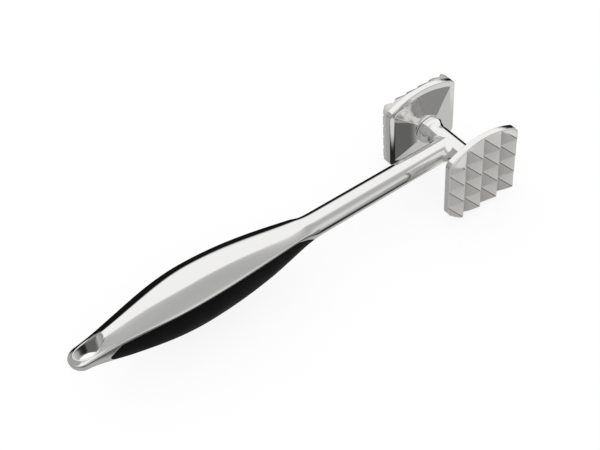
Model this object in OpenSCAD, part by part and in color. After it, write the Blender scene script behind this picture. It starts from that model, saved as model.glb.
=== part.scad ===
// Two-sided meat tenderizer. A die-cast handle ends in a T-shaped head bar. A tooth plate is screwed to
// each end of the bar, coarse on the -Y side and fine on the +Y side, and a soft insert wraps the grip's belly.
// +X points from the hanging hole to the head, +Z is up. The origin is under the middle, on the resting plane.

/* [Handle] */
// Reach from the middle of the head to the tail end
handle_reach = 208; // [190:1:230]
// Diameter of the round stem where it meets the grip
stem_d = 11.9; // [10.5:0.1:13]
// How much thinner the stem is at the head
stem_taper = 0.5; // [0:0.1:1]
// Reach of the plain stem, from the middle of the head to the start of the grip
stem_reach = 82; // [60:1:95]

/* [Grip] */
// Reach from the middle of the head to the widest section of the grip
widest_reach = 146; // [135:1:158]
// Width of the grip at its widest section
grip_w = 24; // [20:0.5:29]
// Height of the crown above the axis at the widest section
crown_h = 15.2; // [13:0.2:17]
// Height of the trim edge above the axis at the widest section
edge_h = 8.2; // [6:0.2:10]
// Height of the trim edge above the axis where the grip leaves the stem
edge_base_h = 2.4; // [1:0.2:3.6]
// Depth of the belly below the axis at the widest section
belly_h = 14.2; // [12:0.2:16]
// Squareness of the belly, where 2 is an ellipse
belly_power = 3; // [2.2:0.1:4]
// Share of the crown's half width that its gently arched top takes
crown_flat = 0.42; // [0.2:0.02:0.6]
// Softness of the two ridges beside the crown's top, where a small value is sharp
crown_ease = 0.15; // [0.1:0.05:0.6]

/* [Tail] */
// Width of the tail
tail_w = 10.8; // [9.8:0.2:13]
// Height of the tail's crown above the axis
tail_crown_h = 4.3; // [3.8:0.1:6]
// Height of the tail's trim edge above the axis
tail_edge_h = 2.4; // [1.6:0.1:3.6]
// Depth of the tail below the axis
tail_belly_h = 3.5; // [2.5:0.1:5]
// Length of the rounded end of the tail
tail_round = 5.5; // [3:0.5:8]
// Length of the hanging hole
hole_len = 13.8; // [9:0.2:16]
// Width of the hanging hole
hole_w = 7.6; // [5:0.2:8.2]
// Wall between the hanging hole and the tail end
hole_wall = 3; // [2:0.2:6]

/* [Grip insert] */
// Strip of the casting's side left between the trim edge and the insert
trim_strip = 0.7; // [0.4:0.1:1.5]
// Distance from the start of the grip to the insert's front tips
front_start = 2.5; // [2:0.5:18]
// Length over which the front tips sweep down from the trim edge
front_sweep = 10; // [6:1:20]
// Distance from the insert's back tips to the tail end
back_start = 16; // [15:0.5:30]
// Length over which the back tips sweep down from the trim edge
back_sweep = 6; // [4:1:20]
// How far the insert's ends draw back from the tips under the belly
tip_tuck = 5; // [3:0.5:8]
// Thickness of the insert's wall
insert_wall = 2.6; // [1.8:0.1:3]
// Number of pegs that hold the insert
peg_count = 3; // [2:1:4]
// Diameter of a peg
peg_d = 5; // [3:0.5:6]
// Length of a peg inside its socket
peg_len = 6; // [3:0.5:7]
// Distance from the start of the grip to the first peg
peg_start = 36; // [30:1:42]
// Distance between neighbouring pegs
peg_pitch = 24; // [12:1:26]
// Gap between the insert and the casting
insert_gap = 0.1; // [0.05:0.05:0.3]

/* [Head bar] */
// Diameter of the bar between the stem and a barrel
bar_d = 11.4; // [10:0.1:13]
// Diameter of the barrel at each end of the bar
barrel_d = 14.4; // [13.2:0.1:17]
// Distance from the middle of the head to the bar's end face
bar_reach = 15.8; // [15:0.1:20]
// Length of a barrel's straight part
barrel_len = 2.2; // [1.5:0.1:3]
// Length of the flare from the bar to a barrel
flare_len = 4.2; // [2:0.2:5]
// Rounding of a barrel's rim
rim_round = 0.5; // [0.2:0.1:1]
// Radius of the fillets between the stem and the bar
fillet_r = 4.5; // [2:0.5:6]

/* [Tooth plates] */
// Width of a plate
plate_w = 41; // [36:0.5:46]
// Height of a plate at its middle
plate_h = 43.4; // [42:0.2:46]
// Radius of the arched top and bottom edges
arch_r = 39.7; // [34:0.5:60]
// Radius of the four corners
corner_r = 3.5; // [2:0.5:5]
// Thickness of a plate from the back rim to the tooth roots
plate_t = 3.2; // [2.6:0.1:5]
// Height of the plate's straight side before its front edge slopes in
side_t = 2.5; // [1.5:0.1:2.6]
// Height of the pyramid back above the rim
back_h = 4.1; // [3:0.1:6]
// Width of the flat lip round the back
lip_w = 3; // [2:0.1:5]
// Width of the pyramid's flat top
crown_w = 12; // [9:0.5:14]
// Height of the pyramid's flat top
crown_len = 10.4; // [8:0.5:13]
// Height of the raised seat ring above the pyramid's flat top
seat_h = 0.2; // [0.1:0.1:1]
// Diameter of the raised seat ring
seat_d = 14.6; // [13:0.1:17]
// Joint gap between the seat ring and the bar
joint_gap = 0.1; // [0:0.05:0.3]
// Height of the slope that trims the coarse teeth at the top and bottom edges
coarse_inset = 5.8; // [4:0.2:8]
// Height of the slope that trims the fine teeth at the top and bottom edges
fine_inset = 4.2; // [3:0.2:8]
// How far the front lies inside the plate's upright sides
front_inset = 0.3; // [0:0.1:1]

/* [Teeth] */
// Pitch of the coarse teeth
coarse_pitch = 10.5; // [7:0.5:14]
// Height of the coarse teeth
coarse_h = 5.5; // [3:0.1:6.5]
// Pitch of the fine teeth
fine_pitch = 7; // [4:0.5:9]
// Height of the fine teeth
fine_h = 3.1; // [2:0.1:4]
// Thickness added under the fine teeth
fine_root = 1.3; // [0:0.1:2]

/* [Studs] */
// Diameter of the threaded studs
stud_d = 8; // [5:0.5:9]
// Depth of a stud in the plate
stud_in_plate = 5; // [3:0.5:5.5]
// Depth of a stud in the bar
stud_in_bar = 8; // [5:0.5:9]
// Gap round a stud, in the thread
stud_gap = 0.1; // [0.05:0.05:0.3]

/* [Hidden] */

chrome = [0.80, 0.81, 0.82];
satin = [0.68, 0.68, 0.69];
soft_black = [0.07, 0.07, 0.07];
steel = [0.50, 0.50, 0.52];

stem_r = stem_d / 2;
stem_head_r = stem_r - stem_taper / 2;
bar_r = bar_d / 2;
half_plate_w = plate_w / 2;
half_plate_h = plate_h / 2;
tail_start = handle_reach - tail_round;
// Height of the head's axis above the resting plane, and its place along the part
head_z = half_plate_h;
head_x = (handle_reach + half_plate_w) / 2 - half_plate_w;
// Distance from the head's middle to a plate's seat face, flat back and rim plane
seat_at = bar_reach + joint_gap;
back_at = seat_at + seat_h;
rim_at = back_at + back_h;

// Points round one grip section, spacing of the sections, and sections in the tail's rounded end
ring_points = 32;
step_x = 5;
cap_steps = 5;
last_cap_angle = 84;
// Depth at which the grip starts under the stem's surface, and the stem's run inside the grip
start_sink = 0.15;
stem_run = 6;
// Slowness of the swell of the grip's width and of its crown in front of the widest section
width_rise = 1.45;
crown_rise = 1.8;
// Slowness of the fall of the grip's heights behind the widest section
tail_fall = 0.6;
// Share of the crown's half width that its top takes at the tail, and how much of the crown's height
// is a plain arch
tail_flat = 0.18;
crown_arch = 0.3;
// How far the core runs up into the crown and past the insert's tips
core_rise = 0.5;
core_run = 3;
// Sharpest corner of a plate's inset outline
least_corner_r = 0.5;
// Points along each end and each side of the insert's outline
end_steps = 12;
side_steps = 20;
// How far a cutting tool runs past the face that it enters
overrun = 1;
eps = 0.01;

function mix(a, b, k) = a + (b - a) * k;
function clamp01(k) = max(0, min(1, k));
function ease(k) = clamp01(k) * clamp01(k) * (3 - 2 * clamp01(k));

// Swell of the grip at a reach u: 0 on the stem, 1 at the widest section, 0 again at the tail end
function swell(u) =
    u <= stem_reach ? 0
    : u <= widest_reach ? 1 - pow((widest_reach - u) / (widest_reach - stem_reach), 2)
    : (1 + cos(180 * clamp01((u - widest_reach) / (handle_reach - widest_reach)))) / 2;

function is_front(u) = u <= widest_reach;
// The grip starts a little inside the stem's surface and swells out of it
start_r = stem_r - start_sink;
// A value of the grip: its start on the stem, its end at the tail, and its value at the widest section
function along(u, start, tail, widest, front_power, back_power) = is_front(u)
    ? mix(start, widest, pow(swell(u), front_power))
    : mix(tail, widest, pow(swell(u), back_power));
function half_w(u) = along(u, start_r, tail_w / 2, grip_w / 2, width_rise, 1);
function crown_z(u) = along(u, start_r, tail_crown_h, crown_h, crown_rise, tail_fall);
function edge_z(u) = is_front(u)
    ? edge_base_h * ease(swell(u) / 0.25) + (edge_h - edge_base_h) * swell(u)
    : mix(tail_edge_h, edge_h, pow(swell(u), tail_fall));
function belly_z(u) = along(u, start_r, tail_belly_h, belly_h, 1, tail_fall);
function belly_n(u) = is_front(u) ? 2 + (belly_power - 2) * min(1, 1.5 * swell(u)) : belly_power;
function roundness(u) = is_front(u) ? 1 - ease(swell(u) / 0.35) : 0;
function flat_share(u) = is_front(u) ? crown_flat : mix(tail_flat, crown_flat, pow(swell(u), 2));
// Fall of the crown from its middle to a share v of the half width: level on top, then a steady slope
function ramp(v, flat) = (sqrt(pow(crown_ease, 2) + pow(v - flat, 2)) + v - flat) / 2;
function slope_fall(v, flat) = (ramp(v, flat) - ramp(0, flat)) / (ramp(1, flat) - ramp(0, flat));
function crown_fall(v, flat) = mix(slope_fall(v, flat), v * v, crown_arch);
// Narrowing of the tail's rounded end, a quarter of an ellipse in plan
function cap(u) = u < tail_start ? 1 : sqrt(max(0, 1 - pow((u - tail_start) / tail_round, 2)));

// Upper half of a section, from the near edge over the crown, for an angle of -90 to 90
function crown_point(u, a) = [
    -u,
    half_w(u) * cap(u) * sin(a),
    edge_z(u) + (crown_z(u) - edge_z(u))
        * mix(1 - crown_fall(abs(sin(a)), flat_share(u)), cos(a), roundness(u))
];
// Lower half of a section, a superellipse, inset by a wall, for an angle of 90 back to -90
function belly_point(u, a, inset) = [
    -u,
    (half_w(u) * cap(u) - inset) * sign(sin(a)) * pow(abs(sin(a)), 2 / belly_n(u)),
    edge_z(u) - (belly_z(u) + edge_z(u) - inset) * pow(max(0, cos(a)), 2 / belly_n(u))
];

half_ring = ring_points / 2;
function grip_ring(u) = concat(
    [for (i = [0 : half_ring - 1]) crown_point(u, -90 + 180 * i / half_ring)],
    [for (i = [0 : half_ring - 1]) belly_point(u, 90 - 180 * i / half_ring, 0)]
);
// The core under the insert: a flat top inside the crown and the belly inset by a wall
function core_ring(u, inset) = concat(
    [for (side = [-1, 1]) [-u, side * (half_w(u) - inset), edge_z(u) + core_rise]],
    [for (i = [0 : half_ring]) belly_point(u, 90 - 180 * i / half_ring, inset)]
);

// A closed solid through a list of rings with equally many points
module loft(rings) {
    n = len(rings[0]);
    m = len(rings);
    points = [for (r = rings) for (p = r) p];
    sides = [
        for (k = [0 : m - 2]) for (i = [0 : n - 1])
            let (a = k * n + i, b = k * n + (i + 1) % n)
            for (face = [[a, b, b + n], [a, b + n, a + n]]) face
    ];
    first = [for (i = [n - 1 : -1 : 0]) i];
    last = [for (i = [0 : n - 1]) (m - 1) * n + i];
    polyhedron(points = points, faces = concat([first], sides, [last]), convexity = 8);
}

grip_count = ceil((tail_start - stem_reach) / step_x);
grip_stations = concat(
    [for (k = [0 : grip_count]) mix(stem_reach, tail_start, k / grip_count)],
    [for (k = [1 : cap_steps]) tail_start + tail_round * sin(last_cap_angle * k / cap_steps)]
);

module grip_body() {
    loft([for (k = [len(grip_stations) - 1 : -1 : 0]) grip_ring(grip_stations[k])]);
}

insert_front = stem_reach + front_start;
insert_back = handle_reach - back_start;
core_count = ceil((insert_back - insert_front) / step_x);
module core(inset) {
    loft([for (k = [0 : core_count])
        core_ring(mix(insert_back + core_run, insert_front - core_run, k / core_count), inset)]);
}

// Height at a share h of the side's depth, which is 0 on the trim edge and 1 under the belly
function depth_z(u, h) = mix(edge_z(u), -belly_z(u), h);
function strip_share(u) = trim_strip / (edge_z(u) + belly_z(u));
// Draw of an end of the insert: 0 at the trim edge, 1 at the tips, which lie halfway down the side
function tip_draw(k) = sin(90 * clamp01(2 * k));
function tuck_draw(k) = 1 - cos(90 * clamp01(2 * k - 1));
// Outline of an end in side view, from the trim edge to the belly. The sign is 1 for the back end
function end_outline(side_at, sweep, sign, gap) = [
    for (k = [0 : end_steps])
        let (
            f = k / end_steps,
            u = side_at + sign * (sweep * tip_draw(f) - tip_tuck * tuck_draw(f) - gap)
        )
        [-u, depth_z(u, mix(strip_share(u), 1, f)) - (k == 0 ? gap : 0)]
];

// Side view of everything below the trim edge, pushed in by a gap, as a prism across the grip
module below_trim(gap) {
    front_side = insert_front + front_sweep;
    back_side = insert_back - back_sweep;
    front_end = end_outline(front_side, front_sweep, -1, gap);
    back_end = end_outline(back_side, back_sweep, 1, gap);
    bottom = -2 * belly_h;
    rotate([90, 0, 0])
        linear_extrude(height = 2 * grip_w, center = true)
            polygon(concat(
                [for (k = [end_steps : -1 : 0]) front_end[k]],
                [for (k = [1 : side_steps - 1])
                    let (u = mix(front_side, back_side, k / side_steps))
                    [-u, edge_z(u) - trim_strip - gap]],
                back_end,
                [[back_end[end_steps][0], bottom], [front_end[end_steps][0], bottom]]
            ));
}

// The pegs stand on the insert's floor and reach into the core
peg_x = [for (k = [0 : peg_count - 1]) stem_reach + peg_start + peg_pitch * k];
function floor_z(u) = -(belly_z(u) - insert_wall);
module pegs(gap, sunk) {
    for (u = peg_x)
        translate([-u, 0, floor_z(u) - sunk])
            cylinder(h = peg_len + sunk + gap, d = peg_d + 2 * gap, $fn = 32);
}

module stem() {
    translate([-(stem_reach + stem_run), 0, 0])
        rotate([0, 90, 0])
            cylinder(h = stem_reach + stem_run, r1 = stem_r, r2 = stem_head_r, $fn = 64);
}

module hanging_hole() {
    back = -(handle_reach - hole_wall);
    reach = 4 * tail_crown_h;
    translate([back + hole_w / 2, 0, -reach])
        cylinder(h = 2 * reach, d = hole_w, $fn = 48);
    translate([back + hole_len - hole_w / 2, 0, -reach])
        cylinder(h = 2 * reach, d = hole_w, $fn = 48);
    translate([back + hole_w / 2, -hole_w / 2, -reach])
        cube([hole_len - hole_w, hole_w, 2 * reach]);
}

// Radius of the bar and its barrel at a distance y from the middle
flare_from = bar_reach - barrel_len - flare_len;
function flare_r(y) = mix(bar_r, barrel_d / 2, ease((y - flare_from) / flare_len));
module half_bar() {
    flare_steps = 8;
    round_steps = 4;
    rim_r = barrel_d / 2 - rim_round;
    rotate([-90, 0, 0])
        rotate_extrude($fn = 64)
            polygon(concat(
                [[0, 0], [bar_r, 0]],
                [for (k = [0 : flare_steps])
                    let (y = flare_from + flare_len * k / flare_steps) [flare_r(y), y]],
                [for (k = [0 : round_steps])
                    let (a = 90 * k / round_steps)
                    [rim_r + rim_round * cos(a), bar_reach - rim_round + rim_round * sin(a)]],
                [[0, bar_reach]]
            ));
}

// Plan outline of the junction: the stem and bar edges joined by two fillets, then the bar's far edge
// It is drawn in a little, so that only the fillets stand out of the two round bars
junction_steps = 8;
junction_sink = 0.15;
inner_x = bar_r - junction_sink;
inner_y = stem_head_r - junction_sink;
junction_outline = concat(
    [for (k = [0 : junction_steps])
        let (a = -90 + 90 * k / junction_steps)
        [-(inner_x + fillet_r) + fillet_r * cos(a), inner_y + fillet_r + fillet_r * sin(a)]],
    [[inner_x, inner_y + fillet_r]]
);
junction_ring = concat(
    junction_outline,
    [for (i = [len(junction_outline) - 1 : -1 : 0]) [junction_outline[i][0], -junction_outline[i][1]]]
);
// Each level of the junction is the outline shrunk towards the middle as on a sphere, so the two
// round bars keep their sections and run into one another without a crease
module junction() {
    levels = 6;
    loft([for (k = [-levels : levels])
        let (a = 85 * k / levels)
        [for (p = junction_ring) [p[0] * cos(a), p[1] * cos(a), min(inner_x, inner_y) * sin(a)]]]);
}

module place() {
    translate([head_x, 0, head_z]) children();
}

// A plate faces +Z here, with the head's middle at the origin, and is turned to its side afterwards
module to_side(side) {
    rotate([side > 0 ? -90 : 90, 0, 0]) children();
}

// Plate outline: two upright sides, two arches and four corner arcs, drawn in by an inset
arch_center = half_plate_h - arch_r;
module plate_outline(inset) {
    r = max(corner_r - inset, least_corner_r);
    x = half_plate_w - inset - r;
    y = arch_center + sqrt(pow(arch_r - inset - r, 2) - pow(x, 2));
    lean = atan2(y - arch_center, x);
    arc = [for (k = [0 : 5]) let (a = mix(0, lean, k / 5)) [x + r * cos(a), y + r * sin(a)]];
    arch = [for (k = [1 : 6])
        let (a = mix(lean, 90, k / 6)) [(arch_r - inset) * cos(a), arch_center + (arch_r - inset) * sin(a)]];
    quarter = concat(arc, arch);
    last = len(quarter) - 1;
    upper = concat(quarter, [for (i = [last - 1 : -1 : 0]) [-quarter[i][0], quarter[i][1]]]);
    polygon(concat(upper, [for (i = [len(upper) - 1 : -1 : 0]) [upper[i][0], -upper[i][1]]]));
}

// Rows of teeth along X: a zigzag profile with its roots at z = 0
module tooth_rows(pitch, height) {
    count = 2 * ceil(half_plate_h / pitch);
    span = count * pitch / 2;
    rotate([90, 0, 90])
        linear_extrude(height = 2 * span, center = true)
            polygon(concat(
                [[-span, -eps]],
                [for (k = [0 : count - 1]) for (p = [[k, 0], [k + 0.5, height]])
                    [-span + p[0] * pitch, p[1]]],
                [[span, 0], [span, -eps]]
            ));
}

module teeth(pitch, height) {
    intersection() {
        tooth_rows(pitch, height);
        rotate(90) tooth_rows(pitch, height);
    }
}

module tooth_plate(pitch, height, root, inset) {
    root_at = rim_at + plate_t + root;
    tip_at = root_at + height;
    difference() {
        union() {
            intersection() {
                union() {
                    translate([0, 0, rim_at])
                        linear_extrude(height = plate_t + root) plate_outline(0);
                    translate([0, 0, root_at]) teeth(pitch, height);
                }
                hull() {
                    translate([0, 0, rim_at]) linear_extrude(height = side_t) plate_outline(0);
                    translate([0, 0, tip_at])
                        linear_extrude(height = eps)
                            offset(r = corner_r, $fn = 32)
                                square([plate_w - 2 * corner_r - 2 * front_inset,
                                    plate_h - 2 * inset - 2 * corner_r], center = true);
                }
            }
            hull() {
                translate([0, 0, rim_at]) linear_extrude(height = eps) plate_outline(lip_w);
                translate([0, 0, back_at])
                    linear_extrude(height = eps) square([crown_w, crown_len], center = true);
            }
            translate([0, 0, seat_at]) cylinder(h = back_h / 2, d = seat_d, $fn = 64);
        }
        translate([0, 0, seat_at - overrun])
            cylinder(h = stud_in_plate + stud_gap + overrun, d = stud_d + 2 * stud_gap, $fn = 48);
    }
}

module handle() {
    color(chrome) place() difference() {
        union() {
            difference() {
                union() {
                    grip_body();
                    stem();
                }
                difference() {
                    below_trim(0);
                    core(insert_wall);
                }
                pegs(insert_gap, overrun);
                hanging_hole();
            }
            half_bar();
            mirror([0, 1, 0]) half_bar();
            junction();
        }
        for (side = [-1, 1])
            to_side(side)
                translate([0, 0, bar_reach - stud_in_bar - stud_gap])
                    cylinder(h = stud_in_bar + stud_gap + overrun, d = stud_d + 2 * stud_gap, $fn = 48);
    }
}

module grip_insert() {
    color(soft_black) place() union() {
        difference() {
            intersection() {
                grip_body();
                below_trim(insert_gap);
            }
            core(insert_wall - insert_gap);
        }
        pegs(0, insert_wall / 2);
    }
}

module coarse_plate() {
    color(satin) place() to_side(-1) tooth_plate(coarse_pitch, coarse_h, 0, coarse_inset);
}

module fine_plate() {
    color(satin) place() to_side(1) tooth_plate(fine_pitch, fine_h, fine_root, fine_inset);
}

module plate_studs() {
    color(steel) place()
        for (side = [-1, 1])
            to_side(side)
                translate([0, 0, bar_reach - stud_in_bar])
                    cylinder(h = stud_in_bar + joint_gap + stud_in_plate, d = stud_d, $fn = 48);
}

handle();
grip_insert();
coarse_plate();
fine_plate();
plate_studs();
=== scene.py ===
"""Two-sided meat tenderizer: chrome casting, soft insert, two tooth plates and the studs that hold them."""
import math
from collections import namedtuple

import bmesh
import bpy
import numpy as np
from mathutils import Matrix, Vector


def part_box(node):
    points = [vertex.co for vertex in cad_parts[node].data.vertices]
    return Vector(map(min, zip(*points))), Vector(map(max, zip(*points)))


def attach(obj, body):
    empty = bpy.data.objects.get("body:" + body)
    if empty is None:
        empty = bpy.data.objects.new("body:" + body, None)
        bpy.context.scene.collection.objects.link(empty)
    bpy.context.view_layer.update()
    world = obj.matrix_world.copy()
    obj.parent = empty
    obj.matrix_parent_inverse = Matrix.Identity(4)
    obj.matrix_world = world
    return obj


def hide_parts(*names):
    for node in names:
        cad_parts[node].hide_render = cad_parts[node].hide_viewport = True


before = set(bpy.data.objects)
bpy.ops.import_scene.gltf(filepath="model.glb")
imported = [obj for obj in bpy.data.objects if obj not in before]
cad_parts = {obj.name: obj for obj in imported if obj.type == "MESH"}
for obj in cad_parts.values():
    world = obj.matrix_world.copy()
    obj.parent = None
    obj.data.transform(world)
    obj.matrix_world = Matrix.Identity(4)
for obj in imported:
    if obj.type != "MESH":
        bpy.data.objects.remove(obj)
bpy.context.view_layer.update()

bl_info = {
    "name": "Meat Tenderizer",
    "version": (1, 0, 0),
    "blender": (4, 5, 0),
    "location": "View3D > Sidebar > Tenderizer",
    "description": "Builds a two-sided meat tenderizer with a cast chrome handle and two tooth plates",
    "category": "Object",
}

MM = 0.001
WHITE = (1, 1, 1, 1)


def head_middle():
    """Middle of the head: a plate's in its face, and the handle's across it, since the plates differ."""
    middle = np.mean(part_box("coarse_plate"), axis=0)
    middle[1] = np.mean(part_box("handle"), axis=0)[1]
    return middle


HEAD = head_middle()
# The studs' holes, which keep the sizes that the studs' solids fit
STUD_HOLE_R = 4.1 * MM
STUD_IN_BAR = 8.1 * MM
STUD_IN_PLATE = 5.1 * MM


def ease(k):
    """Smooth step of k from 0 to 1: 3 k^2 - 2 k^3."""
    k = np.clip(k, 0.0, 1.0)
    return k * k * (3 - 2 * k)


def mix(a, b, k):
    """a at k = 0 and b at k = 1, in a straight line."""
    return a + (b - a) * k


def steps(count, first=0):
    """Shares from 0 to 1 in even steps, from a first one on."""
    return np.linspace(0, 1, count + 1)[first:]


def quarter(count, first=0):
    """Angles of a quarter turn in even steps, from a first one on."""
    return np.linspace(0, np.pi / 2, count + 1)[first:]


def curve(a, b, c, k):
    """Quadratic curve that leaves a towards b at k = 0 and comes to c from b at k = 1."""
    return (1 - k) ** 2 * a + 2 * k * (1 - k) * b + k ** 2 * c


def soft_max(a, b, r):
    """The larger of a and b, rounded over a width r: half of a + b plus the root of (a - b)^2 + r^2."""
    return 0.5 * (a + b + np.sqrt((a - b) ** 2 + r * r))


def soft_min(a, b, r):
    """The smaller of a and b, rounded over a width r."""
    return -soft_max(-a, -b, r)


def length(name, description, mm):
    """A length, given in millimetres."""
    return bpy.props.FloatProperty(name=name, description=description, default=mm * MM, unit="LENGTH")


def lengths(name, description, mm):
    """A few lengths that belong together, given in millimetres."""
    return bpy.props.FloatVectorProperty(
        name=name, description=description, default=[each * MM for each in mm], size=len(mm), unit="LENGTH")


def number(name, description, value):
    """A share, a power or a strength."""
    return bpy.props.FloatProperty(name=name, description=description, default=value)


def angle(name, description, degrees):
    """An angle, given in degrees."""
    return bpy.props.FloatProperty(
        name=name, description=description, default=math.radians(degrees), subtype="ANGLE")


def colour(name, description, rgb):
    """A colour, given as linear red, green and blue."""
    return bpy.props.FloatVectorProperty(
        name=name, description=description, default=rgb, size=3, subtype="COLOR")


class GripSizes(bpy.types.PropertyGroup):
    """Sizes of the grip, the tail and the hanging hole."""

    reach: length("Handle reach", "From the head's middle to the tail end", 208)
    stem_d: length("Stem diameter", "Diameter of the round stem at the grip", 11.9)
    stem_taper: length("Stem taper", "How much thinner the stem is at the head", 0.5)
    stem_reach: length("Stem reach", "From the head's middle to the start of the grip", 82)
    widest_reach: length("Widest reach", "From the head's middle to the widest section", 146)
    width: length("Grip width", "Width at the widest section", 24.6)
    crown: length("Crown height", "Crown above the axis at the widest section", 15.2)
    edge: length("Edge height", "Trim edge above the axis at the widest section", 8.2)
    edge_base: length("Edge height at the stem", "Trim edge above the axis where the grip starts", 2.4)
    belly: length("Belly depth", "Belly below the axis at the widest section", 14.2)
    belly_power: number("Belly squareness", "Power of the belly's superellipse, 2 is an ellipse", 3.0)
    crown_flat: number("Crown top", "Share of the half width that the crown's arched top takes", 0.42)
    crown_ease: number("Crown ease", "Softness of the ridges beside the crown's top", 0.12)
    tail_w: length("Tail width", "Width of the tail", 10.8)
    tail_crown: length("Tail crown", "Crown of the tail above the axis", 4.3)
    tail_edge: length("Tail edge", "Trim edge of the tail above the axis", 2.4)
    tail_belly: length("Tail depth", "Depth of the tail below the axis", 3.5)
    tail_round: length("Tail rounding", "Length of the rounded end", 5.5)
    hole_len: length("Hole length", "Length of the hanging hole", 13.8)
    hole_w: length("Hole width", "Width of the hanging hole", 7.6)
    hole_wall: length("Hole wall", "Wall between the hole and the tail end", 3)
    edge_round: length("Edge rounding", "Width of the rounding along the trim edge, on the crown", 1.2)
    rim_round: length("Hole rim rounding", "Rounding of the hanging hole's rims", 0.9)


class InsertSizes(bpy.types.PropertyGroup):
    """Outline and edges of the soft insert."""

    strip: length("Chrome strip", "Chrome side left between the trim edge and the insert", 0.8)
    front: length("Front tips", "Reach of the front tips", 84.5)
    front_sweep: length("Front sweep", "Length over which the front tips sweep down", 10)
    back: length("Back tips", "Reach of the back tips", 192)
    back_sweep: length("Back sweep", "Length over which the back tips sweep down", 6)
    tuck: length("Tuck", "How far the ends draw back under the belly", 5)
    wall: length("Wall", "Thickness of the insert", 2.3)
    lip: length("Lip", "Rounding of the casting's lip round the insert", 0.3)
    gap: length("Gap", "Parting gap between the insert and the casting's lip", 0.08)


class HeadSizes(bpy.types.PropertyGroup):
    """Sizes of the T-shaped head bar."""

    reach: length("Bar reach", "From the middle to the bar's end face", 15.8)
    waist_d: length("Waist diameter", "Thinnest diameter of the bar, before a barrel", 11.4)
    barrel_d: length("Barrel diameter", "Diameter of the barrels", 14.4)
    barrel_len: length("Barrel length", "Length of a barrel's straight part", 2.2)
    flare_len: length("Flare length", "Length of the flare up to a barrel", 4.2)
    rim_round: length("Rim rounding", "Rounding of a barrel's rim", 0.45)
    fillet: length("Fillet", "Radius of the fillets between stem and bar", 4.5)


class PlateSizes(bpy.types.PropertyGroup):
    """Sizes that both tooth plates share."""

    width: length("Width", "Width of a plate", 41)
    height: length("Height", "Height of a plate at its middle", 43.4)
    arch_r: length("Arch radius", "Radius of the arched edges", 39.7)
    corner_r: length("Corner radius", "Radius of the four corners", 3.5)
    rim_at: length("Rim distance", "From the head's middle to the back rim", 20.2)
    thick: length("Thickness", "From the back rim to the coarse tooth roots", 3.2)
    side: length("Side height", "Straight side before the front edge slopes in", 2.5)
    slope: lengths(
        "Slope insets", "How far the edges slope in at the coarse and at the fine tips", (5.8, 4.2))
    back_h: length("Back height", "Height of the pyramid back", 4.1)
    lip: length("Lip width", "Flat lip round the back", 3)
    top_w: length("Pyramid top width", "Width of the pyramid's flat top", 12)
    top_h: length("Pyramid top height", "Height of the pyramid's flat top", 10.4)
    seat_d: length("Seat ring", "Diameter of the raised seat ring", 14.6)
    seat_h: length("Seat height", "Height of the seat ring above the pyramid's top", 0.2)
    ridge: length("Ridge rounding", "Rounding of the tooth ridges and valleys", 0.18)


class ToothSizes(bpy.types.PropertyGroup):
    """Pitch and height of the two tooth patterns."""

    coarse_pitch: length("Coarse pitch", "Pitch of the coarse teeth", 10.5)
    coarse_h: length("Coarse height", "Height of the coarse teeth", 5.5)
    fine_pitch: length("Fine pitch", "Pitch of the fine teeth", 7)
    fine_h: length("Fine height", "Height of the fine teeth", 3.1)
    fine_root: length("Fine root", "Thickness added under the fine teeth", 1.3)


class Finishes(bpy.types.PropertyGroup):
    """Colours and gloss of the finishes."""

    chrome: colour("Chrome", "Colour of the polished plating", (0.87, 0.865, 0.85))
    chrome_rough: number("Chrome roughness", "Roughness of the polished plating", 0.07)
    teeth: colour("Teeth", "Colour of the satin teeth", (0.70, 0.69, 0.665))
    teeth_rough: number("Teeth roughness", "Roughness of the satin teeth", 0.38)
    back_rough: number("Coarse back roughness", "Roughness of the coarse plate's satin back", 0.35)
    back_metal: number("Coarse back metal", "How metallic the coarse plate's satin back is", 0.7)
    insert: colour("Insert", "Colour of the soft insert", (0.003, 0.003, 0.003))
    insert_rough: number("Insert roughness", "Roughness of the soft insert", 0.5)
    stud: colour("Studs", "Colour of the steel studs", (0.42, 0.42, 0.44))


class StageSettings(bpy.types.PropertyGroup):
    """Camera, floor and light."""

    camera_at: lengths("Camera", "Camera place from the head's middle", (-274.4, -297.7, 387.9))
    camera_down: angle("Look down", "Angle of the view below level", 47.51)
    camera_turn: angle("Look turn", "Turn of the view from +Y towards +X", 31.96)
    camera_roll: angle("Roll", "Roll of the camera to the right", 5.41)
    lens: number("Lens", "Focal length in millimetres on a 36 mm sensor", 69.08)
    floor_size: length("Floor size", "Side of the square floor", 6000)
    daylight: number("Daylight", "Strength of the room's light", 1.0)


GROUPS = {
    "tenderizer_grip": GripSizes,
    "tenderizer_insert": InsertSizes,
    "tenderizer_head": HeadSizes,
    "tenderizer_plate": PlateSizes,
    "tenderizer_teeth": ToothSizes,
    "tenderizer_finish": Finishes,
    "tenderizer_stage": StageSettings,
}


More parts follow.
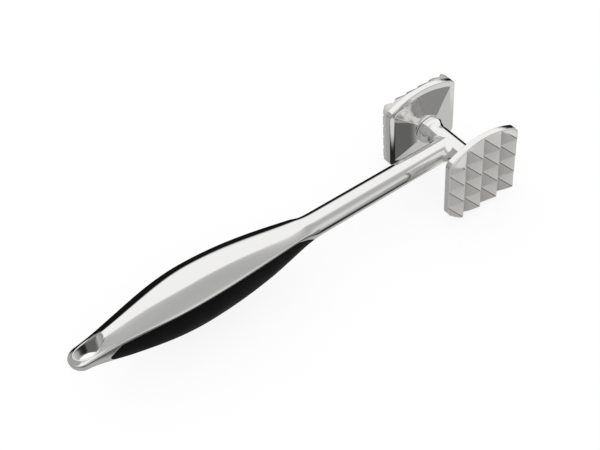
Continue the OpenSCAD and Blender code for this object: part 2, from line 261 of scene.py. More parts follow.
class MeshParts:
    """Collects grids of points, and joins them into one mesh whose seams are merged."""

    # Points closer than this are one point
    merge = 0.002 * MM

    def __init__(self):
        self.points = []
        self.faces = []
        self.count = 0

    def grid(self, points, wrap=False):
        """Adds a grid of points with faces between rows and columns, closed round when wrapped."""
        numbers = self.count + np.arange(points[..., 0].size).reshape(points.shape[:-1])
        self.points.append(points.reshape(-1, 3))
        self.count += numbers.size
        if wrap:
            numbers = np.concatenate([numbers, numbers[:, :1]], axis=1)
        a, b = numbers[:-1, :-1], numbers[:-1, 1:]
        c, d = numbers[1:, 1:], numbers[1:, :-1]
        self.faces.append(np.stack([a, b, c, d], axis=-1).reshape(-1, 4))

    def mirrored(self, points):
        """Adds a grid on the +Y side and its mirror image on the -Y side."""
        self.grid(points)
        self.grid(points * np.array([1, -1, 1]))

    def finish(self, name, sharp=None):
        """Makes the object: merges seams and poles, turns the faces outwards and smooths them."""
        mesh = bpy.data.meshes.new(name)
        mesh.from_pydata(np.concatenate(self.points).tolist(), [], np.concatenate(self.faces).tolist())
        work = bmesh.new()
        work.from_mesh(mesh)
        bmesh.ops.remove_doubles(work, verts=work.verts, dist=self.merge)
        bmesh.ops.dissolve_degenerate(work, edges=work.edges, dist=self.merge / 4)
        bmesh.ops.recalc_face_normals(work, faces=work.faces)
        work.to_mesh(mesh)
        work.free()
        mesh.polygons.foreach_set("use_smooth", np.ones(len(mesh.polygons), bool))
        if sharp is not None:
            mesh.set_sharp_from_angle(angle=sharp)
        piece = bpy.data.objects.new(name, mesh)
        bpy.context.scene.collection.objects.link(piece)
        return piece


# What a section of the grip is drawn from
Section = namedtuple("Section", "half edge crown belly roundness power")


class GripShape:
    """Surface of the stem and the grip: u is the reach from the head's middle, y the side, z the height."""

    crown_steps, corner_steps, strip_steps, belly_steps = 24, 6, 2, 22
    # Columns where the trim edge's curve ends and where the belly starts, and the number of columns
    corner_end = crown_steps + corner_steps
    belly_start = corner_end + strip_steps
    column_count = belly_start + belly_steps + 1
    # Powers of the swell: for the width and the crown in front, and for all heights behind
    width_power, crown_power, tail_power = 1.45, 1.8, 0.6
    # Share of the half width that the crown's top takes on the stem and on the tail
    narrow_flat = 0.18
    # Swells at which the trim edge has risen, the round section has ended, the tail's belly has its full
    # power and its crown is no longer level at the trim edge
    edge_swell, round_swell, power_swell, foot_swell = 0.25, 0.2, 0.4, 0.35
    tail_belly_power = 2.25

    def __init__(self, grip, insert):
        self.grip = grip
        self.insert = insert
        self.stem_r = grip.stem_d / 2
        self.head_r = (grip.stem_d - grip.stem_taper) / 2
        self.tail_start = grip.reach - grip.tail_round

    def swell(self, u):
        """0 on the stem and 1 at the widest section: a parabola in front and half a cosine behind."""
        s = self.grip
        front = 1 - ((s.widest_reach - u) / (s.widest_reach - s.stem_reach)) ** 2
        k = np.clip((u - s.widest_reach) / (s.reach - s.widest_reach), 0, 1)
        return np.where(u <= s.widest_reach, soft_max(0, front, 0.03), (1 + np.cos(np.pi * k)) / 2)

    def section(self, u):
        """Half width, edge, crown, belly, roundness and belly power at a reach u.

        In front of the widest section each is mixed from the stem's value by a power of the swell, and
        behind it from the tail's value.
        """
        s = self.grip
        k = np.maximum(self.swell(u), 0)
        tail = k ** self.tail_power
        front = u <= s.widest_reach
        stem = mix(self.head_r, self.stem_r, np.clip(u / s.stem_reach, 0, 1))
        front_edge = s.edge_base * ease(k / self.edge_swell) + (s.edge - s.edge_base) * k
        front_power = mix(2, s.belly_power, np.minimum(1, 1.5 * k))
        back_power = mix(self.tail_belly_power, s.belly_power, ease(k / self.power_swell))
        widest = s.width / 2
        return Section(
            half=np.where(front, mix(stem, widest, k ** self.width_power), mix(s.tail_w / 2, widest, k)),
            edge=np.where(front, front_edge, mix(s.tail_edge, s.edge, tail)),
            crown=np.where(
                front, mix(stem, s.crown, k ** self.crown_power), mix(s.tail_crown, s.crown, tail)),
            belly=np.where(front, mix(stem, s.belly, k), mix(s.tail_belly, s.belly, tail)),
            roundness=np.where(front, 1 - ease(k / self.round_swell), 0.0),
            power=np.where(front, front_power, back_power))

    def flat_share(self, u):
        """Share of the half width that the crown's top takes, which is less towards the tail."""
        k = np.where(u <= self.grip.widest_reach, 1.0, self.swell(u))
        return mix(self.narrow_flat, self.grip.crown_flat, k * k)

    def gauge(self, u, y):
        """Share of the way from the middle to the outline in plan, 1 on the outline, also round the tail."""
        past = np.maximum(u - self.tail_start, 0) / self.grip.tail_round
        return np.hypot(past, y / self.section(u).half)

    def top_z(self, u, g):
        """Height of the crown at a gauge g, or of a round bar where the grip leaves the stem.

        The crown falls by 0.7 of a soft ramp, level on top and steady past its ridge, and 0.3 of g^2.
        Towards the tail the fall becomes a smooth step, which is level again at the trim edge.
        """
        s = self.section(u)
        flat, a = self.flat_share(u), self.grip.crown_ease
        foot = np.where(u <= self.grip.widest_reach, 0.0, 1 - ease(self.swell(u) / self.foot_swell))

        def ramp(v):
            return (np.sqrt(a * a + (v - flat) ** 2) + v - flat) / 2

        slope = (ramp(g) - ramp(0)) / (ramp(1) - ramp(0))
        bar = np.sqrt(np.maximum(0, 1 - g * g))
        fall = mix(mix(slope, g * g, 0.3), ease((g - 0.12) / 0.88), foot)
        return s.edge + (s.crown - s.edge) * mix(1 - fall, bar, s.roundness)

    def low_z(self, u, g):
        """Height of the belly at a gauge g: a superellipse below the edge."""
        s = self.section(u)
        return s.edge - (s.belly + s.edge) * np.maximum(0, 1 - np.minimum(g, 1) ** s.power) ** (1 / s.power)

    def side_gauge(self, u, h):
        """Gauge g of the belly at a share h of its depth, from g^n + h^n = 1."""
        power = self.section(u).power
        return np.maximum(0, 1 - h ** power) ** (1 / power)

    def crown_end(self, u):
        """Gauge at which the crown ends and the rounded trim edge starts."""
        s = self.section(u)
        return mix(1 - np.minimum(self.grip.edge_round / s.half, 0.11), 0.985, s.roundness)

    def side_start(self, u):
        """Share of the side's depth at which the rounded trim edge ends."""
        s = self.section(u)
        depth = s.belly + s.edge
        return np.minimum(0.5 * self.grip.edge_round, 0.07 * depth) / depth

    def corner(self, u, k):
        """Gauge and height of the trim edge, a quadratic curve that bends where the end tangents meet."""
        step = 1e-4
        g1 = self.crown_end(u)
        h2 = self.side_start(u)
        g2, g3 = self.side_gauge(u, h2), self.side_gauge(u, h2 * 1.02)
        z1, z2, z3 = self.top_z(u, g1), self.low_z(u, g2), self.low_z(u, g3)
        m1 = (z1 - self.top_z(u, g1 - step)) / step
        m2 = (z3 - z2) / (g3 - g2)
        gc = (z2 - z1 + m1 * g1 - m2 * g2) / (m1 - m2)
        return curve(g1, gc, g2, k), curve(z1, z1 + m1 * (gc - g1), z2, k)

    def strip_share(self, u, inset):
        """Share of the side's depth that the chrome strip and an inset of the insert's edge take."""
        s = self.section(u)
        return (self.insert.strip + inset) / (s.belly + s.edge)

    def columns(self, u, inset=0.0):
        """Points of the columns from the ridge down to the belly, at reaches u given for every column.

        The columns are the crown by its gauge, the trim edge by its curve, the strip by its depth and the
        belly by the angle a of the superellipse: gauge sin(a)^(2/n), depth cos(a)^(2/n). The first and the
        last column lie on the middle plane.
        """
        crown, corner, strip, belly = np.split(
            u, [self.crown_steps + 1, self.corner_end + 1, self.belly_start + 1], axis=1)
        k = steps(self.crown_steps)
        g_crown = self.crown_end(crown) * mix(k, np.sin(np.pi / 2 * k), self.section(crown).roundness)
        z_crown = self.top_z(crown, g_crown)
        g_corner, z_corner = self.corner(corner, steps(self.corner_steps, 1))
        k = steps(self.strip_steps, 1)
        g_strip = self.side_gauge(strip, mix(self.side_start(strip), self.strip_share(strip, inset), k))
        z_strip = self.low_z(strip, g_strip)
        s = self.section(belly)
        first = np.arccos(self.strip_share(belly, inset) ** (s.power / 2))
        turn = first * np.linspace(1, 0, self.belly_steps + 1)[1:]
        g_belly = np.sin(turn) ** (2 / s.power)
        z_belly = s.edge - (s.belly + s.edge) * np.cos(turn) ** (2 / s.power)
        g = np.concatenate([g_crown, g_corner, g_strip, g_belly], axis=1)
        z = np.concatenate([z_crown, z_corner, z_strip, z_belly], axis=1)
        points = np.stack([-u, g * self.section(u).half, z], axis=-1)
        points[:, [0, -1], 1] = 0
        return points

    def end_reach(self, front, inset):
        """Reach of the insert's front or back end in every column.

        At a share f of the way down the side, the end sweeps out by a quarter sine until halfway and
        draws back by a quarter cosine from there on. Columns above the insert take its value at f = 0.
        """
        s = self.insert
        sign = -1 if front else 1
        side_at = s.front + s.front_sweep if front else s.back - s.back_sweep
        sweep = s.front_sweep if front else s.back_sweep
        u = np.full(self.column_count, side_at)
        down = np.linspace(1, 0, self.belly_steps + 1)
        below = u[self.belly_start:]
        # The depth of a column depends a little on its reach, so the two are settled in a few rounds
        for _ in range(8):
            power = self.section(below).power
            strip = self.strip_share(below, inset)
            turn = np.arccos(strip ** (power / 2)) * down
            f = np.clip((np.cos(turn) ** (2 / power) - strip) / (1 - strip), 0, 1)
            out = np.sin(np.pi / 2 * np.clip(2 * f, 0, 1))
            back = 1 - np.cos(np.pi / 2 * np.clip(2 * f - 1, 0, 1))
            below = side_at + sign * (sweep * out - s.tuck * back - inset)
        u[self.belly_start:] = below
        return u


def rows_between(a, b, count, first=0):
    """Rows of reaches that run evenly from one row of values to another."""
    return mix(a[None, :], b[None, :], steps(count, first)[:, None])


def unit(v):
    """Vectors scaled to a length of 1."""
    return v / np.maximum(np.linalg.norm(v, axis=-1, keepdims=True), 1e-12)


def grid_normals(points):
    """Outward normals of a grid that runs back and down the +Y side, level at the middle plane."""
    normals = unit(np.cross(np.gradient(points, axis=1), np.gradient(points, axis=0)))
    normals[:, [0, -1], 1] = 0
    return unit(normals)


def rim_loop(block):
    """Indices of a block's edge, from the belly in front, along the top, to the belly at the back."""
    rows, cols = block.shape[:2]
    i = np.concatenate([np.zeros(cols - 1, int), np.arange(rows), np.full(cols - 1, rows - 1)])
    j = np.concatenate([np.arange(cols - 1, 0, -1), np.zeros(rows, int), np.arange(1, cols)])
    return i, j


def into_block(loop, normals, middle):
    """Unit vectors that lie in the surface, square to its edge, and point into the block."""
    inward = unit(np.cross(normals, unit(np.gradient(loop, axis=0))))
    flip = np.sum(inward * (middle - loop), axis=-1).sum() < 0
    inward = -inward if flip else inward
    inward[[0, -1], 1] = 0
    return unit(inward)


def add_step_down(parts, block, normals, sign, rounding, depth):
    """Steps down from a block's edge: a quarter round, a wall, and a floor below the block by a depth.

    The quarter round turns into the block where the sign is 1, and away from it where it is -1.
    """
    i, j = rim_loop(block)
    edge, up = block[i, j], normals[i, j]
    across = sign * into_block(edge, up, block[block.shape[0] // 2, -1])
    a = quarter(5)[:, None, None]
    lip = edge + rounding * (across * np.sin(a) - up * (1 - np.cos(a)))
    k = steps(3, 1)[:, None, None]
    wall = edge + rounding * across - up * mix(rounding, depth, k)
    parts.mirrored(np.concatenate([lip, wall]))
    floor = block - normals * depth
    floor[i, j] = wall[-1]
    parts.mirrored(floor)


class CastingShape:
    """The chrome casting: head bar, stem, grip with the insert's recess, tail and hanging hole."""

    # Rows of points in front of the insert, along it and behind it
    front_rows, seat_rows, back_rows = 14, 60, 7
    # Room between the insert and the floor of its recess
    seat_room = 0.15 * MM
    # How far in front of the grip its columns start, how far behind the insert they end, how far the
    # middle columns of the crown and the belly are drawn back from there, and the slot's lead on the hole
    lead_in, past_insert, drawn_back, slot_lead = 8 * MM, 1 * MM, 5 * MM, 1.2 * MM
    # Where the bar leaves the fillets, on both sides of the middle
    body_reach = 11.5 * MM

    def __init__(self, grip, insert, head, stud_r, stud_depth):
        self.shape = GripShape(grip, insert)
        self.grip = grip
        self.insert = insert
        self.head = head
        self.stud_r = stud_r
        self.stud_depth = stud_depth

    def bar_r(self, y):
        """Radius of the bar at a distance y from the middle: the stem's, the waist's, then the barrel's."""
        s = self.head
        r = self.shape.head_r
        flare_from = s.reach - s.barrel_len - s.flare_len
        waist = mix(r, s.waist_d / 2, ease((y - r) / (flare_from - r)))
        return mix(waist, s.barrel_d / 2, ease((y - flare_from) / s.flare_len))

    def add_head(self, parts, ring):
        """Adds the stem's end, the fillets and the bar, from the stem's half ring of points.

        A level of the junction at a share c of the stem's radius is its plan outline shrunk by c, so the
        stem, the fillet arcs and the bar share one set of columns and meet without a crease.
        """
        s = self.head
        r = self.shape.head_r
        f = s.fillet
        c = ring[:, 1] / ring[:, 1].max()
        z = ring[:, 2] * r / ring[:, 1].max()
        end = np.stack([-c * (r + f), c * r, z], -1)
        parts.mirrored(mix(ring[None], end[None], steps(24)[:, None, None]))

        # The fillet arcs, squeezed to the bar's radius
        a = quarter(14)[:, None]
        x, y = c * (-(r + f) + f * np.sin(a)), c * ((r + f) - f * np.cos(a))
        scale = self.bar_r(y) / r
        parts.mirrored(np.stack([x * scale, y, np.broadcast_to(z, x.shape) * scale], -1))

        # The bar's body, its barrel with the rounded rim, the end face and the stud's hole
        straight = s.reach - s.rim_round
        arc = quarter(6, 1)
        common = np.concatenate([
            np.linspace(self.body_reach, s.reach - s.barrel_len, 9)[1:],
            np.linspace(s.reach - s.barrel_len, straight, 4)[1:],
            straight + s.rim_round * np.sin(arc),
        ])
        rounding = np.concatenate([np.zeros(11), s.rim_round * (1 - np.cos(arc))])
        face = np.linspace(s.barrel_d / 2 - s.rim_round, self.stud_r, 4)[1:]
        bottom = s.reach - self.stud_depth
        socket = np.linspace(s.reach, bottom, 4)[1:]
        end_y = np.concatenate([common, np.full(3, s.reach), socket, np.full(2, bottom)])
        end_r = np.concatenate([
            self.bar_r(common) - rounding, face, np.full(3, self.stud_r), [self.stud_r / 2, 0.0]])
        for side in (-1, 1):
            start = c * (r + f) if side < 0 else 0 * c
            near = mix(start[None, :], self.body_reach, steps(12)[:, None])
            far = np.broadcast_to(end_y[:, None], (end_y.size, c.size))
            far_r = np.broadcast_to(end_r[:, None], far.shape)
            y = np.concatenate([near, far])
            scale = np.concatenate([self.bar_r(near), far_r]) / r
            parts.mirrored(np.stack([side * c * r * scale, y, z * scale], -1))

    def tail_outline(self, first):
        """Reach and turn along the tail's outline, from the side at a reach to the tail end."""
        straight = np.linspace(first, self.shape.tail_start, 9)[1:]
        turn = quarter(14, 1)
        u = np.concatenate([straight, self.shape.tail_start + self.grip.tail_round * np.sin(turn)])
        return u, np.concatenate([np.zeros(8), turn])

    def tail_point(self, u, turn, g, z):
        """Point of the tail at a gauge g from the middle towards an outline point."""
        half = self.shape.section(u).half
        reach = np.where(turn > 0, self.shape.tail_start + self.grip.tail_round * g * np.sin(turn), u)
        return np.stack([-reach, g * half * np.cos(turn), z], -1)

    def hole_rim(self, outline):
        """Reach and side of the hanging hole's points, and their outward directions in plan.

        Each outline point is projected on a slot with round ends, and the slot is drawn out to an oval. The
        slot starts a little before the hole, so that no ring round the hole runs back over the grip.
        """
        s = self.grip
        r, long_r = s.hole_w / 2, s.hole_len / 2
        back = s.reach - s.hole_wall - r
        front = s.reach - s.hole_wall - s.hole_len + r - self.slot_lead
        near = np.clip(-outline[:, 0], front, back)
        away = unit(np.stack([-outline[:, 0] - near, outline[:, 1]], -1))
        along = (near + r * away[:, 0] - (front + back) / 2) / ((back - front) / 2 + r)
        u = s.reach - s.hole_wall - long_r + long_r * along
        y = r * np.sqrt(np.maximum(0, 1 - along * along))
        return u, y, unit(np.stack([along / long_r, y / (r * r)], -1)).T

    def hole_ring(self, outline, hole, height, sign, rows, power):
        """Rows from the tail's outline in to the hole, at the heights of a formula, and the rounded rim."""
        shape, rounding = self.shape, self.grip.rim_round
        u, y, (out_u, out_y) = hole
        k = (steps(rows) ** power)[:, None]
        row_u = mix(-outline[:, 0], u + rounding * out_u, k)
        row_y = mix(outline[:, 1], y + rounding * out_y, k)
        z = height(row_u, shape.gauge(row_u, row_y))
        points = np.stack([-row_u, row_y, z], -1)
        points[0] = outline
        z_hole = height(u, shape.gauge(u, y))
        t = steps(6, 1)[:, None]
        d = rounding * (1 - t) ** 2
        bend = curve(z[-1], z_hole, z_hole - sign * rounding, t)
        return np.concatenate([points, np.stack([-(u + d * out_u), y + d * out_y, bend], -1)])

    def add_tail(self, parts, last):
        """Adds the tail: the trim edge, crown and belly as rings round the hanging hole, and its wall."""
        shape = self.shape
        n1, n2 = shape.crown_steps, shape.corner_end
        u, turn = self.tail_outline(-last[n2, 0])
        k = steps(shape.corner_steps)[:, None]
        g, z = shape.corner(u[None, :], k)
        edge = self.tail_point(np.broadcast_to(u, g.shape), np.broadcast_to(turn, g.shape), g, z)
        edge = np.concatenate([last[n1:n2 + 1, None], edge], axis=1)
        top = np.concatenate([last[:n1 + 1], edge[0, 1:]])
        low = np.concatenate([last[:n2 - 1:-1], edge[-1, 1:]])
        hole = self.hole_rim(top)
        upper = self.hole_ring(top, hole, shape.top_z, 1, 6, 1.0)
        lower = self.hole_ring(low, hole, shape.low_z, -1, 14, 1.3)
        wall = mix(upper[-1][None], lower[-1][None], steps(4)[:, None, None])
        parts.mirrored(edge)
        for patch in (upper, lower, wall):
            patch[:, [0, -1], 1] = 0
            parts.mirrored(patch)

    def last_row(self, back):
        """Reach at which every column of the grip ends and the tail starts, past the insert's back end.

        The crown's and the belly's middle columns end earlier, so that they clear the hanging hole.
        """
        shape = self.shape
        n1, n2 = shape.crown_steps, shape.belly_start
        end = np.full(shape.column_count, self.insert.back + self.past_insert)
        drawn = end[0] - self.drawn_back
        end[:n1 + 1] = mix(drawn, end[0], ease(steps(n1) * 1.6))
        under = steps(shape.belly_steps)
        low = mix(end[n1], drawn, ease(2 * under - 1))
        end[n2:] = np.maximum(low, back[n2:] + self.past_insert)
        return end

    def build(self, name):
        """Adds all patches and joins them into one mesh."""
        shape, insert = self.shape, self.insert
        parts = MeshParts()
        start = np.full(shape.column_count, self.grip.stem_reach - self.lead_in)
        front = shape.end_reach(True, 0.0)
        back = shape.end_reach(False, 0.0)
        points = shape.columns(np.concatenate([
            rows_between(start, front, self.front_rows),
            rows_between(front, back, self.seat_rows, 1),
            rows_between(back, self.last_row(back), self.back_rows, 1),
        ]))
        normals = grid_normals(points)
        n = shape.belly_start
        first, last = self.front_rows, self.front_rows + self.seat_rows
        for patch in (points[:, :n + 1], points[:first + 1, n:], points[last:, n:]):
            parts.mirrored(patch)
        seat = slice(first, last + 1), slice(n, None)
        add_step_down(parts, points[seat], normals[seat], 1, insert.lip, insert.wall + self.seat_room)
        self.add_tail(parts, points[-1])
        self.add_head(parts, points[0])
        return parts.finish(name)


def insert_mesh(grip, insert, name):
    """The soft insert: the grip's belly surface inside the casting's lip, with rounded edges and a wall."""
    shape = GripShape(grip, insert)
    parts = MeshParts()
    inset = 2 * insert.lip + insert.gap
    front, back = (shape.end_reach(at_front, inset) for at_front in (True, False))
    points = shape.columns(rows_between(front, back, 72), inset)
    block, normals = (grid[:, shape.belly_start:] for grid in (points, grid_normals(points)))
    parts.mirrored(block)
    add_step_down(parts, block, normals, -1, insert.lip, insert.wall)
    return parts.finish(name)


class PlateShape:
    """A tooth plate as heights over its outline. p runs along the width, q upwards, d away from the head."""

    edge_round = 0.4 * MM
    arc_steps = 12
    # Cell size that the toothed face aims at, and the height up to which its rows are level
    cell = 0.21 * MM
    level_to = 13.4 * MM
    # How far the tips' rectangle stands in from the plate's sides
    side_inset = 0.3 * MM
    # Widths over which the teeth's faces meet, as a share of their height, and the sloping edge cuts them
    hip_blend, edge_blend = 0.035, 0.15 * MM

    def __init__(self, plate, pitch, height, root, slope, hole_r, hole_depth):
        self.plate = plate
        self.slope = slope
        self.pitch = pitch
        self.height = height
        self.hole_r = hole_r
        self.hole_depth = hole_depth
        self.root_at = plate.rim_at + plate.thick + root
        self.tip_at = self.root_at + height
        # Spacing of the grid's lines, which puts some on every ridge and valley
        self.step = pitch / 2 / round(pitch / 2 / self.cell)

    def corner(self, inset):
        """Corner arc of the outline at an inset: its middle, radius and the turn where the arch starts."""
        s = self.plate
        r = max(s.corner_r - inset, 0.5 * MM)
        arch = s.height / 2 - s.arch_r
        x = s.width / 2 - inset - r
        y = arch + math.sqrt((s.arch_r - inset - r) ** 2 - x * x)
        return x, y, r, math.atan2(y - arch, x)

    def half_height(self, p, inset):
        """Height of the outline at a place p: the arch, or the corner arc near a side."""
        s = self.plate
        x, y, r, lean = self.corner(inset)
        p = np.abs(p)
        arch = s.height / 2 - s.arch_r + np.sqrt(np.maximum(0, (s.arch_r - inset) ** 2 - p * p))
        arc = y + np.sqrt(np.maximum(0, r * r - (p - x) ** 2))
        return np.where(p < x + r * math.cos(lean), arch, arc)

    def columns(self, inset):
        """Places of the columns: even on the arch, on the tooth ridges, and by equal turns on the arcs."""
        x, _, r, lean = self.corner(inset)
        count = int((x + r * math.cos(lean)) / self.step - 0.2)
        middle = self.step * np.arange(-count, count + 1)
        arc = x + r * np.cos(np.linspace(lean, 0, self.arc_steps + 1))
        return np.concatenate([-arc[::-1], middle, arc])

    def grid(self, inset):
        """Grid of places p, q: level rows near the middle, on the ridges, and fanned out to the arch."""
        p = self.columns(inset)
        level = self.step * np.arange(0, int(self.level_to / self.step) + 1)
        upper = mix(level[-1], self.half_height(p, inset)[None, :], steps(33, 1)[:, None])
        half = np.concatenate([np.broadcast_to(level[:, None], (level.size, p.size)), upper])
        q = np.concatenate([-half[:0:-1], half])
        return np.broadcast_to(p, q.shape), q

    def wave(self, v):
        """Rounded triangle wave, 0 in the valleys and 1 on the ridges: the turn of a flattened cosine."""
        flat = 1 - (2 * np.pi * self.plate.ridge / self.pitch) ** 2 / 2
        return np.arccos(flat * np.cos(2 * np.pi * v / self.pitch)) / np.pi

    def slope_share(self, p, q):
        """Share of the way from the tips' rounded rectangle, 0, to the outline, 1.

        It is the largest value over all directions n of (n.X - support of the rectangle) divided by
        (support of the outline - support of the rectangle), the hull of two outlines at two levels.
        """
        s = self.plate
        a = quarter(180)
        n = np.stack([np.cos(a), np.sin(a)])
        edge_p = np.linspace(0, s.width / 2, 400)
        rim = np.stack([edge_p, self.half_height(edge_p, 0.0)])
        outer = np.max(n.T @ rim, axis=1)
        x, y = s.width / 2 - self.side_inset - s.corner_r, s.height / 2 - self.slope - s.corner_r
        inner = x * n[0] + y * n[1] + s.corner_r
        share = np.full(p.shape, -10.0)
        for k in range(a.size):
            value = (n[0, k] * np.abs(p) + n[1, k] * np.abs(q) - inner[k]) / (outer[k] - inner[k])
            share = np.maximum(share, value)
        return share

    def front(self, p, q):
        """Distance of the toothed face from the head: the lower of the two waves, cut by the sloping edge."""
        face = self.root_at + self.height * soft_min(self.wave(p), self.wave(q), self.hip_blend)
        side_at = self.plate.rim_at + self.plate.side
        slope = self.tip_at - (self.tip_at - side_at) * self.slope_share(p, q)
        return soft_min(face, slope, self.edge_blend)

    def loop(self, inset, p, q):
        """The grid's edge loop at another inset: sides and arches in proportion, arcs by equal turns."""
        x0, y0, r0, lean0 = self.corner(self.edge_round)
        x, y, r, lean = self.corner(inset)
        end0, end = x0 + r0 * math.cos(lean0), x + r * math.cos(lean)
        size = np.abs(p)
        on_side = np.abs(q) <= y0 + 1e-9
        on_arch = ~on_side & (size <= end0 + 1e-9)
        turn = np.arccos(np.clip((size - x0) / r0, -1, 1)) / lean0 * lean
        new_p = np.where(on_side, x + r, np.where(on_arch, size * end / end0, x + r * np.cos(turn)))
        arc_q = y + r * np.sin(turn)
        arch_q = self.half_height(np.minimum(new_p, end), inset)
        new_q = np.where(on_side, np.abs(q) * y / y0, np.where(on_arch, arch_q, arc_q))
        return np.sign(p) * new_p, np.sign(q) * new_q

    def build(self, name, side):
        """Adds the toothed face, rounded sides, lip, faceted back with its flat top, and the seat ring."""
        s = self.plate
        r = self.edge_round
        parts = MeshParts()

        def place(p, q, d):
            return np.stack([p, side * np.broadcast_to(d, p.shape), q], -1)

        p, q = self.grid(r)
        d = self.front(p, q)
        parts.grid(place(p, q, d))
        p0, q0, d0 = (
            np.concatenate([v[:-1, -1], v[-1, :0:-1], v[:0:-1, 0], v[0, :-1]]) for v in (p, q, d))

        # The sides, with a quarter round at the front and at the back
        pe, qe = self.loop(0.0, p0, q0)
        rows = []
        for a in quarter(6):
            k = math.sin(a)
            rows.append(place(mix(p0, pe, k), mix(q0, qe, k), d0 - r * (1 - math.cos(a))))
        for a in quarter(6):
            k = math.cos(a)
            rows.append(place(mix(p0, pe, k), mix(q0, qe, k), s.rim_at + r * (1 - math.sin(a))))

        # The lip, then the faceted back up to its flat top
        for inset in np.linspace(r, s.lip - 0.3 * MM, 4)[1:]:
            rows.append(place(*self.loop(inset, p0, q0), s.rim_at))
        pl, ql = self.loop(s.lip, p0, q0)
        top_at = s.rim_at - s.back_h
        x, y, corner_r, _ = self.corner(s.lip)
        on_side = np.abs(ql) <= y + 1e-9
        pt = np.where(on_side, np.sign(pl), pl / (x + corner_r)) * s.top_w / 2
        qt = np.where(on_side, ql / y, np.sign(ql)) * s.top_h / 2
        for k in np.concatenate([[0.02], np.linspace(0.05, 0.97, 12), [1.0]]):
            rows.append(place(mix(pl, pt, k), mix(ql, qt, k), mix(s.rim_at, top_at, k)))

        # The stud's hole
        turn = np.arctan2(qt, pt)
        seat_at = top_at - s.seat_h
        deep = seat_at + self.hole_depth
        for radius, distance in ((self.hole_r, top_at), (self.hole_r, deep), (0.0, deep)):
            rows.append(place(radius * np.cos(turn), radius * np.sin(turn), distance))
        parts.grid(np.stack(rows), wrap=True)
        seat_ring(parts, side, s.seat_d / 2, self.hole_r - 0.02 * MM, seat_at, seat_at + s.back_h / 2)
        return parts.finish(name, sharp=math.radians(20))


def seat_ring(parts, side, outer_r, inner_r, near, far):
    """A revolved ring with a small chamfer: its profile turned round the Y axis."""
    chamfer = 0.15 * MM
    profile = np.array([
        [inner_r, near], [outer_r - chamfer, near], [outer_r, near + chamfer], [outer_r, far],
        [inner_r, far], [inner_r, near],
    ])
    turn = np.linspace(0, 2 * np.pi, 97)[:-1]
    r, d = profile[:, :1], profile[:, 1:]
    parts.grid(np.stack([r * np.cos(turn), side * (d + 0 * turn), r * np.sin(turn)], -1), wrap=True)


class Value:
    """A shader socket on which arithmetic adds Math nodes."""

    def __init__(self, shader, socket):
        self.shader = shader
        self.socket = socket

    def math(self, operation, *others):
        """Math node whose first input is this value."""
        return self.shader.node("Math", dict(enumerate((self,) + others)), {"operation": operation})

    def __add__(self, other):
        return self.math("ADD", other)

    def __mul__(self, other):
        return self.math("MULTIPLY", other)

    def __sub__(self, other):
        return self.math("SUBTRACT", other)

    def __rsub__(self, other):
        return self.shader.node("Math", {0: other, 1: self}, {"operation": "SUBTRACT"})

    def abs(self):
        return self.math("ABSOLUTE")

    def ramp(self, low, high, start=0.0, end=1.0):
        """Goes smoothly from start to end while the value goes from low to high."""
        inputs = {"Value": self, "From Min": low, "From Max": high, "To Min": start, "To Max": end}
        return self.shader.node("MapRange", inputs, {"interpolation_type": "SMOOTHSTEP"})


class Shader:
    """A node tree that is built by calls."""

    def __init__(self, tree):
        self.tree = tree
        tree.nodes.clear()

    def node(self, kind, inputs=None, settings=None, output=0):
        """Adds a node: its type, the values or links of its sockets, then its settings or ramp stops."""
        made = self.tree.nodes.new("ShaderNode" + kind)
        settings = dict(settings or {})
        stops = settings.pop("stops", ())
        for key, value in settings.items():
            setattr(made, key, value)
        while stops and len(made.color_ramp.elements) < len(stops):
            made.color_ramp.elements.new(0.5)
        for i, (place, level) in enumerate(stops):
            made.color_ramp.elements[i].position = place
            made.color_ramp.elements[i].color = (level, level, level, 1)
        for key, value in (inputs or {}).items():
            if isinstance(value, Value):
                self.tree.links.new(value.socket, made.inputs[key])
            else:
                made.inputs[key].default_value = value
        return Value(self, made.outputs[output]) if made.outputs else None

    def outputs(self, value):
        """All outputs of the node that a value comes from, by name."""
        return {socket.name: Value(self, socket) for socket in value.socket.node.outputs}

    def split(self, vector):
        """The x, y and z of a vector."""
        return list(self.outputs(self.node("SeparateXYZ", {"Vector": vector})).values())

    def place(self):
        """Object coordinates, which are the frame's own, in metres."""
        return self.node("TexCoord", output=3)

    def axes(self):
        """The x, y and z of the place."""
        return self.split(self.place())

    def noise(self, scale, detail=2.0, rough=0.5):
        """Noise from 0 to 1 over the object."""
        return self.node("TexNoise", {
            "Vector": self.place(), "Scale": scale, "Detail": detail, "Roughness": rough})

    def blend(self, a, b, share):
        """Number that goes from a to b with a share."""
        return self.node("Mix", {0: share, 2: a, 3: b})

    def tint(self, a, b, share):
        """Colour that goes from a to b with a share."""
        return self.node("Mix", {0: share, 6: a, 7: b}, {"data_type": "RGBA"}, output=2)

    def choose(self, a, b, share):
        """Surface that goes from a to b with a share."""
        return self.node("MixShader", {0: share, 1: a, 2: b})

    def light(self, kind, level, strength=1.0):
        """Emission or Background of a colour or a level."""
        return self.node(kind, {"Color": level, "Strength": strength})

    def bump(self, height, distance, strength):
        """Normal of a height map."""
        return self.node("Bump", {"Strength": strength, "Distance": distance, "Height": height})


def finish(name):
    """A new material, its shader and the place for its surface."""
    material = bpy.data.materials.new(name)
    material.use_nodes = True
    return material, Shader(material.node_tree)


def surface(shader, inputs):
    """Ends a shader with a Principled surface that has the given values and links."""
    shader.node("OutputMaterial", {"Surface": shader.node("BsdfPrincipled", inputs)})


